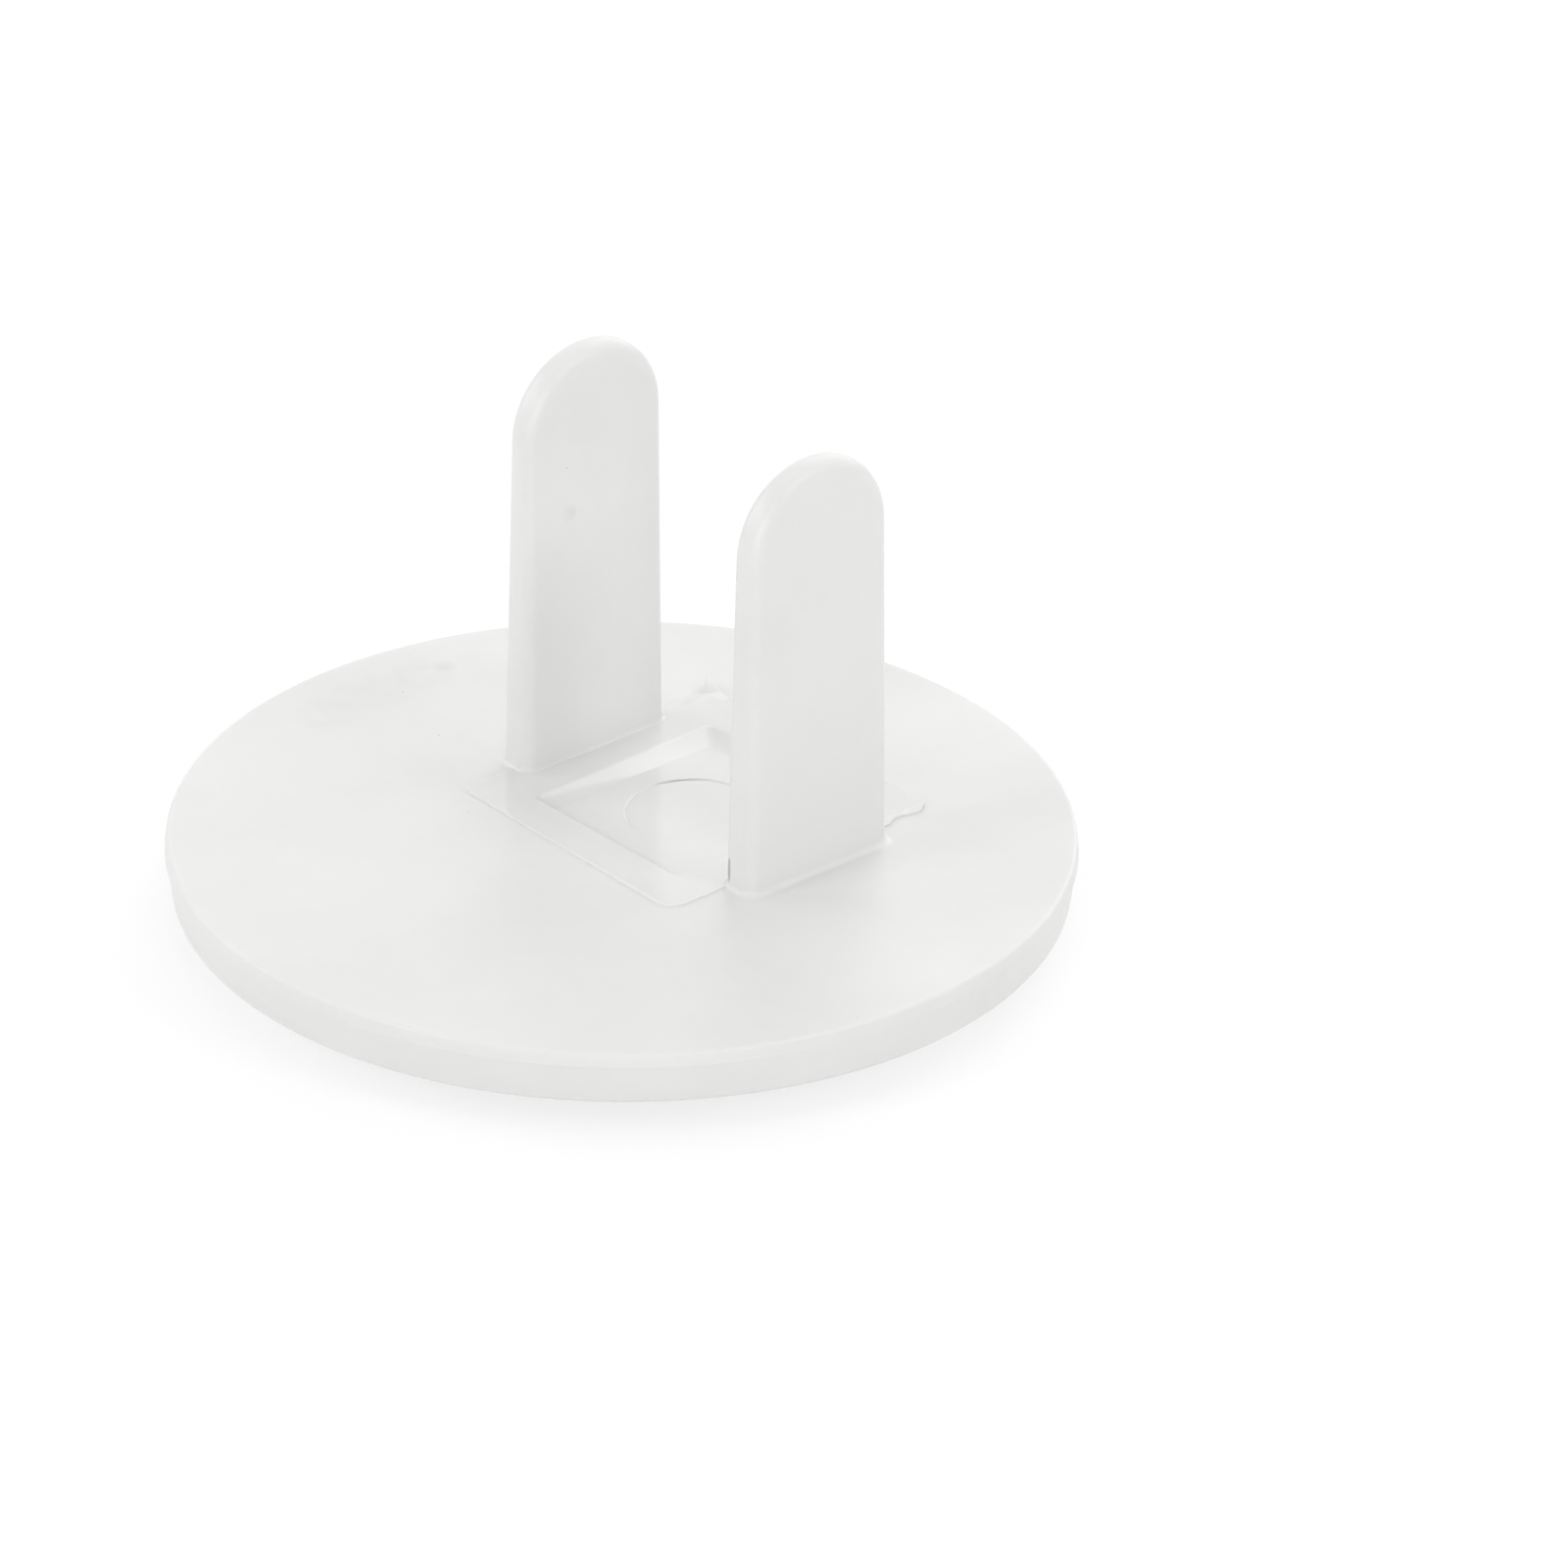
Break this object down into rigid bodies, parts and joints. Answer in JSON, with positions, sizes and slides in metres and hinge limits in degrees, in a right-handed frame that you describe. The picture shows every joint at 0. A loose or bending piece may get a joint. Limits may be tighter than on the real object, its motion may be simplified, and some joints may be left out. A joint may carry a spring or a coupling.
{
  "type": "outlet safety cover",
  "caption": "Round one-piece plastic safety cover for an unused mains outlet, with flat blades that push into the slots and keep small fingers out.",
  "frame": {"origin": "middle of the small flat on the disc's domed front, which the cover rests on", "axes": "+Z from the front to the blade tips; +X across the blades, from one to the other; +Y along the blades' width, towards the side of the disc that they are set off to"},
  "size_m": [0.032, 0.032, 0.019],
  "materials": {
    "moulded_polythene": "moulded, with a soft gloss"
  },
  "bodies": {
    "root": {"outlet_cover": "moulded_polythene"}
  },
  "joints": []
}
